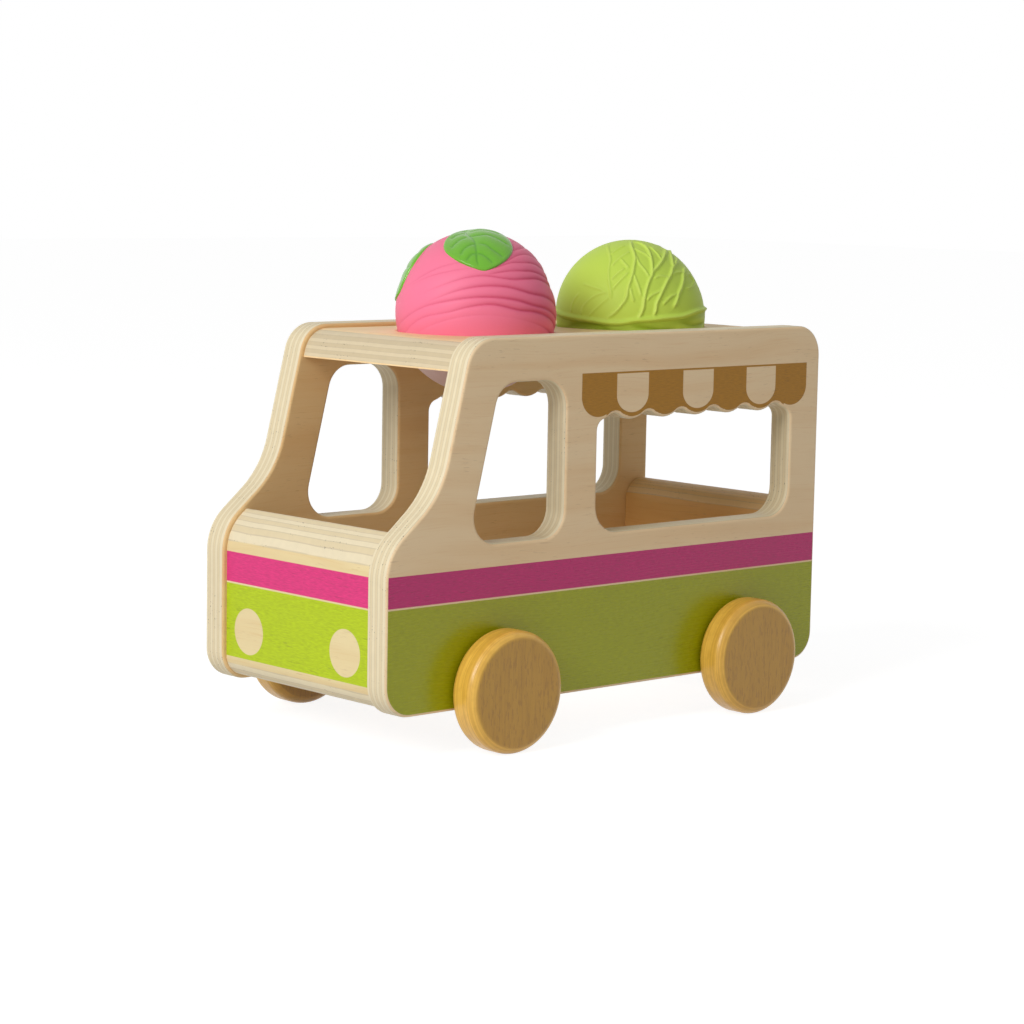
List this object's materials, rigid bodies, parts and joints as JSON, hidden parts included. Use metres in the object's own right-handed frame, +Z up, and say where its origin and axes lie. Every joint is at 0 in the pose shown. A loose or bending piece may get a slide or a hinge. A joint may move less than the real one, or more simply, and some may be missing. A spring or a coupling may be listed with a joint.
{
  "type": "toy ice cream truck",
  "caption": "Wooden push-along toy ice cream truck with open windows, a scalloped serving hatch, rolling wheels and rubber scoops that lift out of the roof.",
  "frame": {"origin": "on the floor under the middle of the truck", "axes": "+X forward, +Y to the truck's left, +Z up"},
  "size_m": [0.25, 0.15, 0.2098],
  "materials": {
    "plywood": "satin varnished birch plywood",
    "beech": "satin varnished beech",
    "pink_rubber": "satin",
    "lime_rubber": "satin",
    "leaf_rubber": "gloss"
  },
  "bodies": {
    "truck": {"side_panel_left": "plywood", "side_panel_right": "plywood", "front_board": "plywood", "rear_board": "plywood", "roof_board": "plywood"},
    "front_wheelset": {"front_axle": "beech", "front_wheel_left": "beech", "front_wheel_right": "beech"},
    "rear_wheelset": {"rear_axle": "beech", "rear_wheel_left": "beech", "rear_wheel_right": "beech"},
    "front_ball": {"front_scoop": "pink_rubber", "upper_leaf": "leaf_rubber", "lower_leaf": "leaf_rubber"},
    "rear_ball": {"rear_scoop": "lime_rubber"}
  },
  "joints": [
    {"name": "front_wheels_roll", "type": "hinge", "parent": "truck", "child": "front_wheelset", "pos_m": [0.067, 0, 0.0253], "axis": [0, 1, 0], "continuous": true},
    {"name": "rear_wheels_roll", "type": "hinge", "parent": "truck", "child": "rear_wheelset", "pos_m": [-0.075, 0, 0.0253], "axis": [0, 1, 0], "continuous": true},
    {"name": "front_ball_lifts_out", "type": "slide", "parent": "truck", "child": "front_ball", "axis": [0, 0, 1], "range_m": [0, 0.06]},
    {"name": "rear_ball_lifts_out", "type": "slide", "parent": "truck", "child": "rear_ball", "axis": [0, 0, 1], "range_m": [0, 0.06]}
  ]
}
